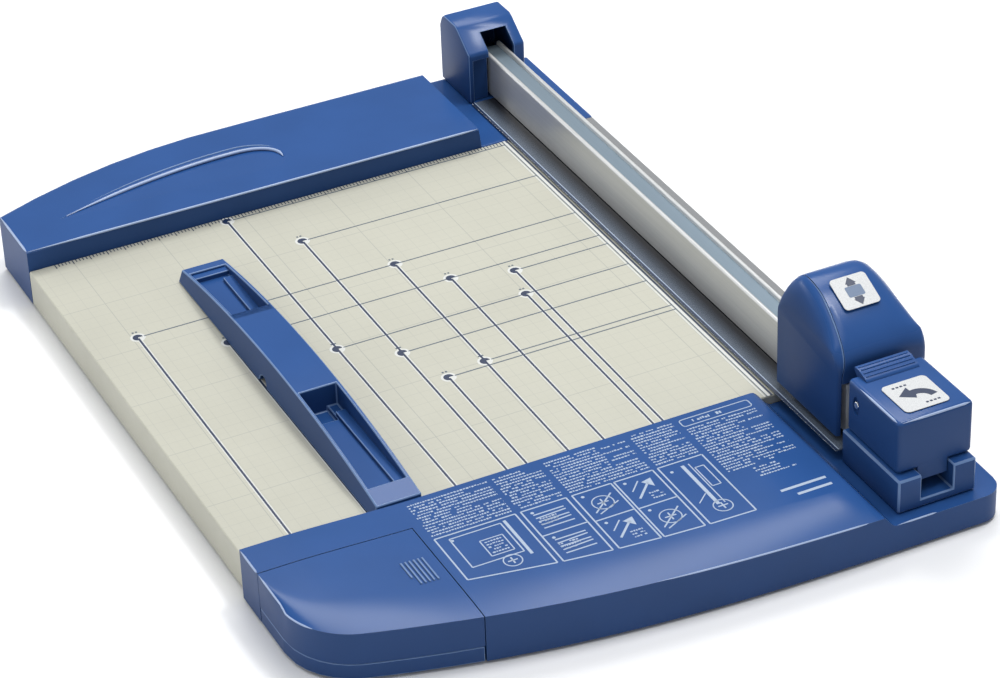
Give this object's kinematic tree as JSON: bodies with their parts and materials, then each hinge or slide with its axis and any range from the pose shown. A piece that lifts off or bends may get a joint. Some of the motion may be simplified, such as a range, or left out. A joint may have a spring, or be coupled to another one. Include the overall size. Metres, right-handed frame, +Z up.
{
  "type": "rotary paper trimmer",
  "caption": "Flat paper trimmer: a ruled board between two covers, a hinged rail along one edge with a sliding pressed-down rotary cutter head, a lock lever, a paper guide and a blade store.",
  "frame": {"origin": "on the table under the middle of the bounding box of the closed trimmer at rest", "axes": "+X to the right across the board towards the rail, +Y away from the user along the cut, +Z up"},
  "size_m": [0.353, 0.508, 0.0936],
  "materials": {
    "blue_plastic": "satin moulded",
    "beige_plastic": "fine matt grain",
    "cutting_mat": "smooth",
    "zinc_plate": "zinc plated",
    "bright_steel": "ground and polished",
    "anodised_aluminium": "satin anodised",
    "clear_plastic": "clear and polished",
    "foot_rubber": "matt",
    "black_plastic": "moulded",
    "white_nylon": "smooth",
    "label_film": "printed film"
  },
  "bodies": {
    "base": {"cutting_board": "beige_plastic", "cutting_mat": "cutting_mat", "bottom_plate": "zinc_plate", "plate_screw_1": "zinc_plate", "plate_screw_2": "zinc_plate", "plate_screw_3": "zinc_plate", "plate_screw_4": "zinc_plate", "plate_screw_5": "zinc_plate", "plate_screw_6": "zinc_plate", "rubber_foot_1": "foot_rubber", "rubber_foot_2": "foot_rubber", "rubber_foot_3": "foot_rubber", "rubber_foot_4": "foot_rubber", "near_cover": "blue_plastic", "storage_tray": "blue_plastic", "far_cover": "blue_plastic", "tower_cover": "blue_plastic", "hinge_bracket": "bright_steel", "hinge_pin": "bright_steel", "rail_holder": "blue_plastic", "catch_plate": "bright_steel"},
    "storage_lid": {"storage_lid": "blue_plastic"},
    "rail": {"rail_extrusion": "anodised_aluminium", "paper_clamp": "clear_plastic", "rail_hinge_block": "black_plastic", "rail_end_bracket": "black_plastic", "rail_end_plug": "black_plastic", "lever_pin": "bright_steel", "lever_spring": "bright_steel", "bracket_screw_1": "zinc_plate", "bracket_screw_2": "zinc_plate"},
    "lock_lever": {"lock_lever": "blue_plastic", "lever_label": "label_film"},
    "carriage": {"slide_runner": "white_nylon", "press_spring_1": "bright_steel", "press_spring_2": "bright_steel"},
    "cutter_head": {"head_cover": "blue_plastic", "head_left_shell": "blue_plastic", "head_label": "label_film", "blade_carrier": "black_plastic", "blade_axle": "bright_steel", "carrier_screw_1": "zinc_plate", "carrier_screw_2": "zinc_plate"},
    "blade": {"disc_blade": "bright_steel", "blade_hub": "black_plastic"},
    "paper_guide": {"guide_bar": "blue_plastic", "guide_magnet_near": "black_plastic", "guide_magnet_far": "black_plastic"}
  },
  "joints": [
    {"name": "lid_slide", "type": "slide", "parent": "base", "child": "storage_lid", "axis": [-1, 0, 0], "range_m": [0, 0.06]},
    {"name": "rail_hinge", "type": "hinge", "parent": "base", "child": "rail", "pos_m": [0.1374, 0.24, 0.0353], "axis": [-1, 0, 0], "range_deg": [0, 10]},
    {"name": "lock_hinge", "type": "hinge", "parent": "rail", "child": "lock_lever", "pos_m": [0.1374, -0.203, 0.0543], "axis": [-1, 0, 0], "range_deg": [0, 12], "stiffness_Nm_per_rad": 0.4, "springref_deg": -11.46},
    {"name": "cutter_slide", "type": "slide", "parent": "rail", "child": "carriage", "axis": [0, 1, 0], "range_m": [0, 0.338]},
    {"name": "head_press", "type": "slide", "parent": "carriage", "child": "cutter_head", "axis": [0, 0, -1], "range_m": [0, 0.0024], "stiffness_N_per_m": 1500, "springref_m": -0.003, "deforming": ["press_spring_1", "press_spring_2"]},
    {"name": "blade_spin", "type": "hinge", "parent": "cutter_head", "child": "blade", "pos_m": [0.1505, -0.16, 0.0389], "axis": [1, 0, 0], "continuous": true},
    {"name": "guide_slide", "type": "slide", "parent": "base", "child": "paper_guide", "axis": [1, 0, 0], "range_m": [-0.065, 0.19]}
  ]
}
